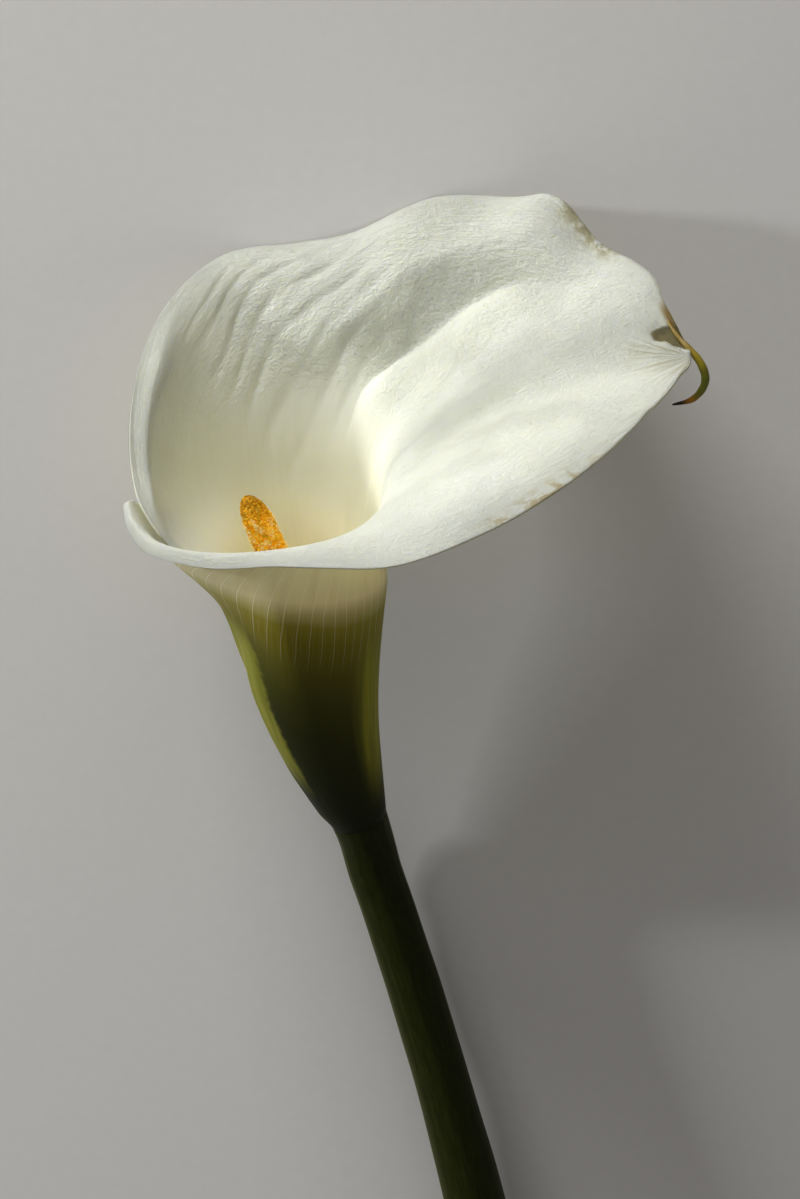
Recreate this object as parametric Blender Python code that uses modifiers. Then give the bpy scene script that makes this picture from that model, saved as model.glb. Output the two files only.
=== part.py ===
"""A cut calla lily lying on its back: one stem, one rolled spathe and a spadix in two zones.

Metres, +Z up. The surface it rests on is z = 0 and the origin is under the middle of its box. The flower
is shaped in a frame of its own (mm): +Z runs up the funnel from its foot, +X points to the spathe's tip
and +Y to the far wall, which lies underneath. BASE, ROLL and RISE lay that frame down.
"""
import math

import bmesh
import bpy
import numpy as np
from mathutils import Matrix, Vector

MM = 0.001

# How the flower lies: where the funnel's foot is, its turn on the surface and the rise of its axis.
BASE = Vector((-16.5, 15.6, 13.7)) * MM
ROLL = math.radians(12.0)
RISE = math.radians(20.0)

# The spathe: one leaf rolled into a funnel. Its two edges start side by side at the foot and lap above.
SPATHE_THICK = 1.1
SEAM = 190.0  # degrees round the axis, where the two edges meet at the foot
SEAM_SLIT = 5.0  # degrees between the two edges at the foot
FOOT_RADIUS = 6.9
FUNNEL_TAPER = 0.21
FUNNEL_FLARE = 0.0009  # more radius per mm squared above FLARE_FROM
FLARE_FROM = 50.0
LAP = 0.8  # each edge's shift in or out where they lap
LAP_RISE = (0.0, 0.06)  # from foot to margin, where that shift sets in
LAP_OUTER = (0.78, 0.95)  # the places along the foot where it sets in, for each edge
LAP_INNER = (0.82, 0.97)
TURN_RISE = (0.06, 0.9)  # where the ribs turn from their place on the foot to their place on the margin
WAIST = 4.1  # how far the lapped side is drawn in below the rim
WAIST_HEIGHTS = (44.0, 70.0, 74.0, 98.0)
WAIST_SIDE = (0.2, 0.9)  # the side it is on, as minus the cosine of the angle round the axis
SPATHE_COLUMNS = 68
SPATHE_ROWS = 22

# The margin, from the inner edge round the far side to the tip and back along the near side to the outer
# edge: place along the foot from 0 to 1, degrees round the axis, radius, height, and slope of the lip.
MARGIN = (
    (0.000, 220, 18.6, 60, 78),
    (0.025, 212, 25.4, 84, 70),
    (0.050, 202, 31.0, 98, 70),
    (0.075, 190, 33.2, 105, 72),
    (0.105, 172, 34.4, 110, 72),
    (0.140, 149, 36.7, 121, 66),
    (0.185, 125, 42.0, 132, 45),
    (0.240, 102, 53.5, 138, 20),
    (0.280, 90, 62.6, 138, -5),
    (0.325, 74, 66.65, 136, -5),
    (0.355, 63, 71.0, 136, -5),
    (0.390, 50, 85.0, 140, -10),
    (0.425, 38, 96.0, 138, 0),
    (0.445, 31, 100.0, 139.5, 20),
    (0.470, 22, 101.8, 130, 20),
    (0.485, 16, 105.5, 127, 15),
    (0.498, 12, 107.5, 124.5, 15),
    (0.508, 9, 106.0, 120, 10),
    (0.522, 2.6, 109.4, 111.6, 0),
    (0.540, -5, 105.0, 112.5, -5),
    (0.570, -14, 100.0, 114, -5),
    (0.600, -24, 93.5, 114, -10),
    (0.635, -36, 86.0, 112, -15),
    (0.675, -48, 77.0, 108.5, -20),
    (0.720, -62, 62.0, 102.5, -20),
    (0.760, -76, 46.5, 100.5, -20),
    (0.800, -92, 37.5, 99.5, -25),
    (0.850, -118, 35.0, 99, -50),
    (0.895, -142, 35.0, 99, -60),
    (0.930, -162, 35.8, 98.5, -60),
    (0.955, -178, 36.8, 101, -50),
    (0.975, -190, 36.4, 101.5, -10),
    (0.990, -199, 32.5, 90, 50),
    (1.000, -206, 26.5, 70, 70),
)

# The shoulder, where the funnel's wall turns over into the spread limb: same places, radius and height.
SHOULDER = (
    (0.000, 16.4, 50),
    (0.030, 22.5, 76),
    (0.060, 28.0, 91),
    (0.105, 31.0, 98),
    (0.185, 34.5, 113),
    (0.280, 42.0, 121),
    (0.355, 46.0, 120),
    (0.405, 47.0, 115),
    (0.440, 44.0, 107),
    (0.470, 38.0, 103),
    (0.522, 34.0, 101),
    (0.635, 32.0, 99),
    (0.720, 30.5, 97),
    (0.800, 28.5, 96),
    (0.850, 29.0, 96.5),
    (0.895, 30.8, 97),
    (0.930, 31.8, 97),
    (0.955, 33.0, 98),
    (0.975, 32.5, 94),
    (0.990, 28.0, 78),
    (1.000, 23.0, 60),
)
RIB_KNOTS = (0.0, 0.22, 0.45, 0.68, 1.0)  # foot, two on the funnel, shoulder, margin
DRIFT = ((0.00, 1.6), (0.22, -0.9), (0.45, 0.8), (0.68, 0.9), (1.00, 0.0))  # the axis's bend, at the knots
FUNNEL_KNOTS = (0.30, 0.60)  # their heights, as shares of the margin's

# The fold that runs out from the throat between the spread limb and the far wall.
FOLD_PLACE = 0.437
FOLD_DEPTH = 2.6
FOLD_WIDTH = 0.028
FOLD_ROUND = 0.15  # its bottom's rounding, as a share of the width
FOLD_START = (0.5, 0.7)  # from foot to margin, where it deepens and where it dies out
FOLD_END = (0.78, 0.97)

# The cusp: the tip's own tail, a tapered rod that hooks back under it. Points and radii.
CUSP = (
    ((97.0, 11.5, 115.0), 0.8),
    ((102.5, 9.0, 113.3), 1.2),
    ((107.0, 6.5, 111.6), 1.5),
    ((110.4, 4.4, 109.6), 1.55),
    ((111.9, 3.2, 105.9), 1.5),
    ((110.8, 2.4, 102.5), 1.35),
    ((107.4, 2.0, 99.9), 1.1),
    ((102.4, 2.5, 99.4), 0.5),
)
CUSP_STEPS = 22
CUSP_SIDES = 8

# The stem and, on its end, the seat that the spathe's foot wraps.
STEM_RADII = (  # at distances from the flower
    (0.0, 7.4),
    (5.0, 7.1),
    (12.0, 7.0),
    (30.0, 7.05),
    (50.0, 7.1),
    (77.0, 7.3),
    (105.0, 7.9),
    (140.0, 8.0),
    (200.0, 8.0),
)
STEM_LENGTH = 200.0
STEM_LEAN = (math.radians(19.5), math.radians(9.5))  # at the flower and at the cut end
STEM_HEIGHTS = (  # of its middle, at distances from the flower
    (0.0, 13.7),
    (6.0, 11.5),
    (16.0, 9.7),
    (35.0, 9.1),
    (110.0, 9.9),
    (200.0, 8.0),
)
STEM_BEND = 1.1  # its bend to one side just below the flower
STEM_BEND_END = 18.0
STEM_POINTS = 26
STEM_CROWDING = 1.3  # over 1 sets the points closer near the flower
STEM_SIDES = 20
SEAT_RADIUS = 5.9
SEAT_HEIGHT = 4.0
SEAT_STEP = 0.02
SEAT_CHAMFER = (0.8, 1.0)  # height and radius taken off the seat's top edge
SEAT_LEAN = 0.1
SEAT_RISE = 0.15  # from foot to margin, how far the foot's lean is felt
COLLAR_GAP = 0.5
FIT_GAP = 0.3

# The spadix: a rod of pistils below and of stamens above, each floret a small raised diamond.
PISTIL_TOP = 22.0
SPADIX_TOP = 97.5
SPADIX_RADIUS = 4.8
SPADIX_FOOT = Vector((1.0, 0.0))
SPADIX_TIP = Vector((-6.8, 3.0))
PISTIL_NET = (20, 16)  # points round each zone and rings along it
STAMEN_NET = (26, 64)
PISTIL_RELIEF = 0.55
STAMEN_RELIEF = 0.4
TIP_DOME = 7.0  # lengths of the rounded ends: the spadix's tip, and the flat ends of its zones
FLAT_DOME = 1.0


def clear_scene():
    for obj in list(bpy.data.objects):
        bpy.data.objects.remove(obj)


def flower_frame():
    """The matrix that lays the flower's own frame (mm) down in the world (m)."""
    axis = Vector((-math.sin(ROLL) * math.cos(RISE), math.cos(ROLL) * math.cos(RISE), math.sin(RISE)))
    right = Vector((math.cos(ROLL), math.sin(ROLL), 0.0))
    far = axis.cross(right)
    turn = Matrix((right, far, axis)).transposed().to_4x4()
    return Matrix.Translation(BASE) @ turn @ Matrix.Scale(MM, 4)


def smooth_step(x, low, high):
    t = np.clip((x - low) / (high - low), 0.0, 1.0)
    return t * t * (3 - 2 * t)


def spline(x, table, column):
    """A smooth curve through one column of a table, whose first column is x."""
    rows = np.array(table, dtype=float)
    xs, ys = rows[:, 0], rows[:, column]
    slopes = np.gradient(ys, xs)
    i = np.clip(np.searchsorted(xs, x) - 1, 0, len(xs) - 2)
    return hermite(x, xs[i], xs[i + 1], ys[i], ys[i + 1], slopes[i], slopes[i + 1])


def hermite(x, x0, x1, y0, y1, slope0, slope1):
    width = x1 - x0
    t = (x - x0) / width
    return (
        y0 * (1 + 2 * t) * (1 - t) ** 2
        + y1 * t * t * (3 - 2 * t)
        + width * (slope0 * t * (1 - t) ** 2 - slope1 * t * t * (1 - t))
    )


def funnel_radius(height):
    return FOOT_RADIUS + FUNNEL_TAPER * height + FUNNEL_FLARE * np.clip(height - FLARE_FROM, 0, None) ** 2


def rib(u):
    """Radii and heights of the five knots of the ribs at places u, and the slopes at the knots."""
    margin_r, margin_z = spline(u, MARGIN, 2), spline(u, MARGIN, 3)
    lip = np.radians(spline(u, MARGIN, 4))
    low, high = (margin_z * share for share in FUNNEL_KNOTS)
    radii = [funnel_radius(0 * u), funnel_radius(low), funnel_radius(high), spline(u, SHOULDER, 1), margin_r]
    heights = [0 * u, low, high, spline(u, SHOULDER, 2), margin_z]
    slopes = []
    for knots, end in ((radii, np.cos(lip)), (heights, np.sin(lip))):
        inner = [
            (knots[i + 1] - knots[i - 1]) / (RIB_KNOTS[i + 1] - RIB_KNOTS[i - 1]) for i in range(1, 4)
        ]
        reach = np.hypot(radii[4] - radii[3], heights[4] - heights[3]) / (RIB_KNOTS[4] - RIB_KNOTS[3])
        slopes.append([(knots[1] - knots[0]) / RIB_KNOTS[1], *inner, reach * end])
    return radii, heights, slopes


def spathe_surface(u, v):
    """Points (mm, flower's frame) of the spathe at u, from its inner to its outer edge, and v, foot to margin."""
    radii, heights, slopes = rib(u)
    i = np.clip(np.searchsorted(RIB_KNOTS, v) - 1, 0, 3)
    knots = np.array(RIB_KNOTS)
    values = []
    for table, slope in ((radii, slopes[0]), (heights, slopes[1])):
        table, slope = np.array(table), np.array(slope)
        column = np.arange(len(u))
        values.append(
            hermite(
                v, knots[i], knots[i + 1], table[i, column], table[i + 1, column],
                slope[i, column], slope[i + 1, column],
            )
        )
    radius, height = values
    turned = smooth_step(v, *TURN_RISE)
    foot = SEAM - SEAM_SLIT / 2 - (360.0 - SEAM_SLIT) * u
    angle = np.radians(foot + (spline(u, MARGIN, 1) - foot) * turned)
    lapped = smooth_step(v, *LAP_RISE)
    radius = radius + LAP * lapped * (smooth_step(u, *LAP_OUTER) - smooth_step(1 - u, *LAP_INNER))
    drawn = smooth_step(height, *WAIST_HEIGHTS[:2]) * (1 - smooth_step(height, *WAIST_HEIGHTS[2:]))
    radius = radius - WAIST * drawn * smooth_step(-np.cos(angle), *WAIST_SIDE)
    fold = np.exp(-np.hypot(u - FOLD_PLACE, FOLD_ROUND * FOLD_WIDTH) / FOLD_WIDTH)
    height = height - FOLD_DEPTH * fold * smooth_step(v, *FOLD_START) * (1 - smooth_step(v, *FOLD_END))
    # The foot lies square to the stem, which leans from the funnel's axis.
    height = height + SEAT_LEAN * radius * np.cos(angle) * (1 - smooth_step(v, 0.0, SEAT_RISE))
    return np.stack(
        [radius * np.cos(angle) + spline(v, DRIFT, 1), radius * np.sin(angle), height], axis=-1
    )


def material(name, colour, roughness):
    made = bpy.data.materials.new(name)
    made.use_nodes = True
    shader = made.node_tree.nodes["Principled BSDF"]
    shader.inputs["Base Color"].default_value = (*colour, 1.0)
    shader.inputs["Roughness"].default_value = roughness
    shader.inputs["Metallic"].default_value = 0.0
    return made


def add_object(name, mesh, home, look):
    """A mesh (m, in world space) as a smooth object of the part."""
    obj = bpy.data.objects.new(name, mesh)
    mesh.materials.clear()
    mesh.materials.append(look)
    mesh.shade_smooth()
    home.objects.link(obj)
    return obj


def evaluated_mesh(obj):
    """The object's mesh with its modifiers applied, in world space. The object is removed."""
    bpy.context.view_layer.update()
    mesh = bpy.data.meshes.new_from_object(obj.evaluated_get(bpy.context.evaluated_depsgraph_get()))
    mesh.transform(obj.matrix_world)
    bpy.data.objects.remove(obj)
    return mesh


def tube_mesh(points, radii, sides):
    """A closed tube (m) through world points, with its caps welded."""
    curve = bpy.data.curves.new("tube", "CURVE")
    curve.dimensions = "3D"
    curve.bevel_depth = 1.0
    curve.bevel_resolution = (sides - 4) // 2
    curve.use_fill_caps = True
    line = curve.splines.new("POLY")
    line.points.add(len(points) - 1)
    for spot, point, radius in zip(line.points, points, radii):
        spot.co = (*point, 1.0)
        spot.radius = radius
    tube = bpy.data.objects.new("tube", curve)
    bpy.context.scene.collection.objects.link(tube)
    mesh = evaluated_mesh(tube)
    shape = bmesh.new()
    shape.from_mesh(mesh)
    bmesh.ops.remove_doubles(shape, verts=shape.verts, dist=1e-6)
    bmesh.ops.recalc_face_normals(shape, faces=shape.faces)
    shape.to_mesh(mesh)
    shape.free()
    return mesh


def cusp_mesh(frame):
    """The cusp's rod, with its few points joined by a smooth curve."""
    rows = [(i, *point, radius) for i, (point, radius) in enumerate(CUSP)]
    steps = np.linspace(0, len(CUSP) - 1, CUSP_STEPS)
    x, y, z, radius = (spline(steps, rows, column) for column in (1, 2, 3, 4))
    points = [frame @ Vector(point) for point in zip(x, y, z)]
    return tube_mesh(points, radius * MM, CUSP_SIDES)


def make_spathe(home, helpers, frame, look):
    """The leaf as a grid bent to its surface, thickened, with the cusp joined to its tip."""
    bpy.ops.mesh.primitive_grid_add(x_subdivisions=SPATHE_COLUMNS, y_subdivisions=SPATHE_ROWS, size=1)
    leaf = bpy.context.object
    places = np.array([vertex.co[:2] for vertex in leaf.data.vertices]) + 0.5
    for vertex, point in zip(leaf.data.vertices, spathe_surface(places[:, 0], places[:, 1])):
        vertex.co = frame @ Vector(point)
    # Both faces of the blade are split into triangles alike, so they stay parallel.
    leaf.modifiers.new("split", "TRIANGULATE").quad_method = "FIXED"
    thick = leaf.modifiers.new("thickness", "SOLIDIFY")
    thick.thickness = SPATHE_THICK * MM
    thick.offset = 0.0
    tail = bpy.data.objects.new("cusp", cusp_mesh(frame))
    helpers.objects.link(tail)
    tail.hide_render = True
    tail.display_type = "WIRE"
    join = leaf.modifiers.new("cusp", "BOOLEAN")
    join.operation = "UNION"
    join.object = tail
    mesh = evaluated_mesh(leaf)
    bpy.data.objects.remove(tail)
    shape = bmesh.new()
    shape.from_mesh(mesh)
    if shape.calc_volume(signed=True) < 0:
        bmesh.ops.reverse_faces(shape, faces=shape.faces)
    # Where the far margin touches the surface it is pressed flat.
    for vertex in shape.verts:
        vertex.co.z = max(vertex.co.z, 0.0)
    shape.to_mesh(mesh)
    shape.free()
    return add_object("spathe", mesh, home, look)


def seat_middle(height):
    return Vector((DRIFT[0][1] - SEAT_LEAN * height, 0, height))


def make_stem(home, frame, look):
    """The stem from its cut end to the flower, then the narrower seat inside the spathe's foot."""
    foot = frame @ seat_middle(-COLLAR_GAP)
    along = np.linspace(1.0, 0.0, STEM_POINTS) ** STEM_CROWDING * STEM_LENGTH
    heights = spline(along, STEM_HEIGHTS, 1)
    radii = list(spline(along, STEM_RADII, 1))
    bends = STEM_BEND * smooth_step(along, 0.0, STEM_BEND_END)
    points = []
    for distance, height, bend in zip(along, heights, bends):
        # The lean falls evenly along the stem, so this is its mean up to here.
        lean = STEM_LEAN[0] + (STEM_LEAN[1] - STEM_LEAN[0]) * distance / STEM_LENGTH / 2
        aside, down = (math.sin(lean) * distance - bend) * MM, math.cos(lean) * distance * MM
        points.append(Vector((foot.x + aside, foot.y - down, height * MM)))
    points[-1] = foot
    for height, radius in (
        (SEAT_STEP - COLLAR_GAP, SEAT_RADIUS),
        (SEAT_HEIGHT - SEAT_CHAMFER[0], SEAT_RADIUS),
        (SEAT_HEIGHT, SEAT_RADIUS - SEAT_CHAMFER[1]),
    ):
        points.append(frame @ seat_middle(height))
        radii.append(radius)
    return add_object("stem", tube_mesh(points, np.array(radii) * MM, STEM_SIDES), home, look)


def make_spadix_zone(name, bottom, top, around, rings, relief, domed, home, frame, look):
    """One zone of the spadix: a sphere's net drawn out into a rod, every other point of it a floret."""
    shape = bmesh.new()
    bmesh.ops.create_uvsphere(shape, u_segments=around, v_segments=rings, radius=1.0)
    for vertex in shape.verts:
        ring = round(math.acos(max(-1.0, min(1.0, vertex.co.z))) / math.pi * rings)
        turn = math.atan2(vertex.co.y, vertex.co.x)
        spoke = round(turn / (2 * math.pi) * around)
        at = 1.0 - ring / rings
        height = bottom + (top - bottom) * at
        radius = SPADIX_RADIUS * zone_outline(at, top - bottom, domed)
        if 0 < ring < rings and (ring + spoke) % 2 == 0:
            radius += relief * min(1.0, radius / SPADIX_RADIUS)
        middle = SPADIX_FOOT.lerp(SPADIX_TIP, height / SPADIX_TOP)
        x, y = radius * math.cos(turn) + middle.x, radius * math.sin(turn) + middle.y
        vertex.co = frame @ Vector((x, y, height))
    mesh = bpy.data.meshes.new(name)
    shape.to_mesh(mesh)
    shape.free()
    return add_object(name, mesh, home, look)


def zone_outline(at, length, domed):
    """Radius as a share of the full one: flat below, and above either flat or a round tip."""
    below = at * length
    above = (1.0 - at) * length
    outline = min(1.0, math.sqrt(max(below, 0.0) / FLAT_DOME))
    tip = TIP_DOME if domed else FLAT_DOME
    if above < tip:
        outline *= math.sqrt(max(0.0, 1.0 - (1.0 - above / tip) ** 2))
    return outline


def build():
    clear_scene()
    home = bpy.data.collections.new("calla_lily")
    helpers = bpy.data.collections.new("cutters")
    for collection in (home, helpers):
        bpy.context.scene.collection.children.link(collection)
    frame = flower_frame()
    make_stem(home, frame, material("stem_green", (0.060, 0.090, 0.020), 0.45))
    make_spathe(home, helpers, frame, material("spathe_cream", (0.800, 0.830, 0.660), 0.50))
    make_spadix_zone(
        "pistils", SEAT_HEIGHT + FIT_GAP, PISTIL_TOP, *PISTIL_NET, PISTIL_RELIEF, False,
        home, frame, material("pistil_green", (0.420, 0.480, 0.160), 0.60),
    )
    make_spadix_zone(
        "stamens", PISTIL_TOP + FIT_GAP, SPADIX_TOP, *STAMEN_NET, STAMEN_RELIEF, True,
        home, frame, material("stamen_yellow", (0.720, 0.360, 0.040), 0.80),
    )


build()
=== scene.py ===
"""The finished look of a cut calla lily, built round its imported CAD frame. Metres, +Z up."""

import math

import bmesh
import bpy
import numpy as np
from mathutils import Matrix, Vector


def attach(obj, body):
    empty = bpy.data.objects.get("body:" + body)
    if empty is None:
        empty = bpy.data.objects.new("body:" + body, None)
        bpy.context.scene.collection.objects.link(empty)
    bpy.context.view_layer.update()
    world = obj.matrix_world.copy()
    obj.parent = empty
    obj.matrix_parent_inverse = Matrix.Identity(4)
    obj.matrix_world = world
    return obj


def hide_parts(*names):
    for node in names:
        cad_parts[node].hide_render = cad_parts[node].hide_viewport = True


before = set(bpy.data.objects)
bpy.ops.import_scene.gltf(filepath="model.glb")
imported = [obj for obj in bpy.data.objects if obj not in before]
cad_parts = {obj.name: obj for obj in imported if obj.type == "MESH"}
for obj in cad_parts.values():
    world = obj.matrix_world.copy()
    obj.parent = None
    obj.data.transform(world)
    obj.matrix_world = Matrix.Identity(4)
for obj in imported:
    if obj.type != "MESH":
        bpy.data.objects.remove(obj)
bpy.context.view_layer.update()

# =========================================================== the stem
# The stalk that carries the bloom: round, solid and waxy, faintly ribbed along its length, and cut square
# at its lower end. It lies along the surface and bends up a little into the spathe's foot.
MM = 0.001
BASE = Vector((-16.5, 15.6, 13.7)) * MM  # the middle of the bloom's foot
ROLL = math.radians(12.0)
RISE = math.radians(20.0)
AXIS = Vector((-math.sin(ROLL) * math.cos(RISE), math.cos(ROLL) * math.cos(RISE), math.sin(RISE)))
TIPWARD = Vector((math.cos(ROLL), math.sin(ROLL), 0.0))
FARWARD = AXIS.cross(TIPWARD)
# The bloom's own frame, in mm: +Z up the funnel, +X to the spathe's tip, +Y to the wall underneath.
BLOOM = Matrix.Translation(BASE) @ Matrix((TIPWARD, FARWARD, AXIS)).transposed().to_4x4() @ Matrix.Scale(MM, 4)
BLOOM_ROWS = np.array(BLOOM)

STEM_LENGTH = 200.0
STEM_RADII = (
    (0.0, 7.4), (5.0, 7.1), (12.0, 7.0), (30.0, 7.05), (50.0, 7.1), (77.0, 7.3), (105.0, 7.9), (140.0, 8.0),
    (200.0, 8.0),
)
STEM_BEND = 1.1
STEM_LEAN = (math.radians(19.5), math.radians(9.5))
STEM_HEIGHTS = ((0.0, 13.7), (6.0, 11.5), (16.0, 9.7), (35.0, 9.1), (110.0, 9.9), (200.0, 8.0))
STEM_RINGS = 150
STEM_SIDES = 72
SEAT_RADIUS = 5.9
SEAT_LEAN = 0.1
FOOT_DRIFT = 1.6
COLLAR_GAP = 0.5

STEM_DARK = (0.0100, 0.0125, 0.0012, 1.0)
STEM_GREEN = (0.0160, 0.0195, 0.0020, 1.0)
STEM_FLECK = (0.026, 0.031, 0.003, 1.0)
STEM_BLOOM = (0.62, 0.66, 0.02, 1.0)
STRAND_END = (0.30, 0.34, 0.13, 1.0)
PITH = (0.62, 0.64, 0.40, 1.0)


def smooth_step(x, low, high):
    t = np.clip((x - low) / (high - low), 0.0, 1.0)
    return t * t * (3 - 2 * t)


def hermite(x, x0, x1, y0, y1, slope0, slope1):
    width = x1 - x0
    t = (x - x0) / width
    return (
        y0 * (1 + 2 * t) * (1 - t) ** 2
        + y1 * t * t * (3 - 2 * t)
        + width * (slope0 * t * (1 - t) ** 2 - slope1 * t * t * (1 - t))
    )


def spline(x, table, column=1):
    """A smooth curve through one column of a table, whose first column is x."""
    rows = np.array(table, dtype=float)
    xs, ys = rows[:, 0], rows[:, column]
    slopes = np.gradient(ys, xs)
    i = np.clip(np.searchsorted(xs, x) - 1, 0, len(xs) - 2)
    return hermite(x, xs[i], xs[i + 1], ys[i], ys[i + 1], slopes[i], slopes[i + 1])


def in_world(points):
    """Points of the bloom's frame (mm) as points of the world (m)."""
    return points @ BLOOM_ROWS[:3, :3].T + BLOOM_ROWS[:3, 3]


def swept_rod(path, radii, upward):
    """How a point at (across, along) from 0 to 1 sits on a rod round a path."""
    path, radii = np.array(path), np.array(radii)
    ahead = np.gradient(path, axis=0)
    ahead /= np.linalg.norm(ahead, axis=1, keepdims=True)
    aside = np.cross(ahead, upward)
    aside /= np.linalg.norm(aside, axis=1, keepdims=True)
    above = np.cross(aside, ahead)
    steps = np.linspace(0, 1, len(path))

    def place(across, along, ribs=0.0):
        at = [np.stack([np.interp(along, steps, c) for c in rows.T], 1) for rows in (path, aside, above)]
        radius = np.interp(along, steps, radii) + ribs
        turn = 2 * math.pi * across
        return at[0] + (radius * np.cos(turn))[:, None] * at[1] + (radius * np.sin(turn))[:, None] * at[2]

    return place


def formed_grid(columns, rows, place, marks):
    """A grid moved onto place(across, along). Each mark is a vector kept on its points for the finish."""
    shape = bmesh.new()
    layers = {name: shape.verts.layers.float_vector.new(name) for name in marks}
    bmesh.ops.create_grid(shape, x_segments=columns, y_segments=rows, size=0.5)
    spots = np.array([vertex.co[:2] for vertex in shape.verts]) + 0.5
    points = place(spots[:, 0], spots[:, 1])
    values = {name: mark(spots[:, 0], spots[:, 1]) for name, mark in marks.items()}
    for i, vertex in enumerate(shape.verts):
        vertex.co = points[i]
        for name, layer in layers.items():
            vertex[layer] = values[name][i]
    return shape


def close_rod(shape):
    """Welds a rolled-up grid along its seam and caps both ends."""
    bmesh.ops.remove_doubles(shape, verts=shape.verts, dist=1e-7)
    ends = [edge for edge in shape.edges if edge.is_boundary]
    caps = bmesh.ops.edgeloop_fill(shape, edges=ends)["faces"]
    bmesh.ops.recalc_face_normals(shape, faces=shape.faces)
    return caps


def finished(name, shape, finish, slot, *stands_for):
    """A bmesh as a smooth piece that rides on the flower."""
    mesh = bpy.data.meshes.new(name)
    shape.to_mesh(mesh)
    shape.free()
    mesh.shade_smooth()
    mesh.materials.append(finish)
    piece = bpy.data.objects.new(name, mesh)
    bpy.context.scene.collection.objects.link(piece)
    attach(piece, "root")
    if stands_for:
        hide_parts(*stands_for)


class Wire:
    """A shader socket that Python's operators work on: each adds the Math node that it stands for."""

    def __init__(self, tree, socket=None):
        self.tree, self.socket = tree, socket

    def node(self, kind, settings=None, inputs=None, output=0):
        """The output of a new node, whose settings are set before its sockets."""
        made = self.tree.nodes.new(kind)
        for name, value in (settings or {}).items():
            if name == "stops":
                ramp = made.color_ramp.elements
                while len(ramp) < len(value):
                    ramp.new(0.5)
                for stop, (place, colour) in zip(ramp, value):
                    stop.position, stop.color = place, (*colour, 1.0)
            else:
                setattr(made, name, value)
        for name, value in (inputs or {}).items():
            if isinstance(value, Wire):
                self.tree.links.new(value.socket, made.inputs[name])
            else:
                made.inputs[name].default_value = value
        return Wire(self.tree, made.outputs[output])

    def maths(self, operation, *values):
        return self.node("ShaderNodeMath", {"operation": operation}, dict(enumerate(values)))

    def __add__(self, other):
        return self.maths("ADD", self, other)

    def __sub__(self, other):
        return self.maths("SUBTRACT", self, other)

    def __rsub__(self, other):
        return self.maths("SUBTRACT", other, self)

    def __mul__(self, other):
        return self.maths("MULTIPLY", self, other)

    def __truediv__(self, other):
        return self.maths("DIVIDE", self, other)

    def __abs__(self):
        return self.maths("ABSOLUTE", self)

    __radd__, __rmul__ = __add__, __mul__

    def at_most(self, limit):
        return self.maths("MINIMUM", self, limit)

    def zigzag(self, height):
        """Up and down between 0 and a height, over and over."""
        return self.maths("PINGPONG", self, height)

    def step(self, low, high):
        """0 below low, 1 above high and smooth between."""
        inputs = {"Value": self, "From Min": low, "From Max": high}
        return self.node("ShaderNodeMapRange", {"interpolation_type": "SMOOTHSTEP"}, inputs)

    def band(self, low, full, still, gone):
        """1 from full to still, and 0 below low and above gone."""
        return self.step(low, full) * (1.0 - self.step(still, gone))

    def mix(self, first, second):
        """From the first colour to the second as this goes from 0 to 1."""
        return self.node("ShaderNodeMix", {"data_type": "RGBA"}, {0: self, 6: first, 7: second}, 2)

    def ramp(self, stops):
        """The colour at this number's place among stops of (place, colour)."""
        return self.node("ShaderNodeValToRGB", {"stops": stops}, {0: self})

    def own_place(self):
        """The point on the object, in metres."""
        return self.node("ShaderNodeTexCoord", output=3)

    def mark(self, name):
        """One of the vectors kept on the mesh's points."""
        return self.node("ShaderNodeAttribute", {"attribute_name": name}, output=1)

    def part(self, index):
        """One number of a vector."""
        return self.node("ShaderNodeSeparateXYZ", inputs={0: self}, output=index)

    def stretched(self, x, y, z):
        return self.node("ShaderNodeMapping", inputs={"Vector": self, "Scale": (x, y, z)})

    def noise(self, scale, detail=2.0, roughness=0.5, distortion=0.0):
        """Noise on this vector, around 0.5."""
        inputs = {"Vector": self, "Scale": scale, "Detail": detail, "Roughness": roughness, "Distortion": distortion}
        return self.node("ShaderNodeTexNoise", inputs=inputs)

    def ridges(self, *noise):
        """1 along thin winding lines, falling off to 0 between them."""
        return 1.0 - abs(self.noise(*noise) * 2.0 - 1.0) * 3.0


def new_finish(name, roughness, subsurface=0.0, reach=(1.0, 1.0, 1.0), reach_scale=0.001, specular=0.5):
    """(material, start of its wires, its shader)."""
    made = bpy.data.materials.new(name)
    made.use_nodes = True
    shader = made.node_tree.nodes["Principled BSDF"]
    shader.inputs["Roughness"].default_value = roughness
    shader.inputs["Specular IOR Level"].default_value = specular
    shader.inputs["Subsurface Weight"].default_value = subsurface
    shader.inputs["Subsurface Radius"].default_value = reach
    shader.inputs["Subsurface Scale"].default_value = reach_scale
    return made, Wire(made.node_tree), shader


def give(shader, wire, socket):
    wire.tree.links.new(wire.socket, shader.inputs[socket])


def raise_relief(shader, height, depth):
    """Bump, from a height in shares of a depth in metres."""
    give(shader, height.node("ShaderNodeBump", inputs={"Height": height, "Distance": depth, "Strength": 1.0}), "Normal")


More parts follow.
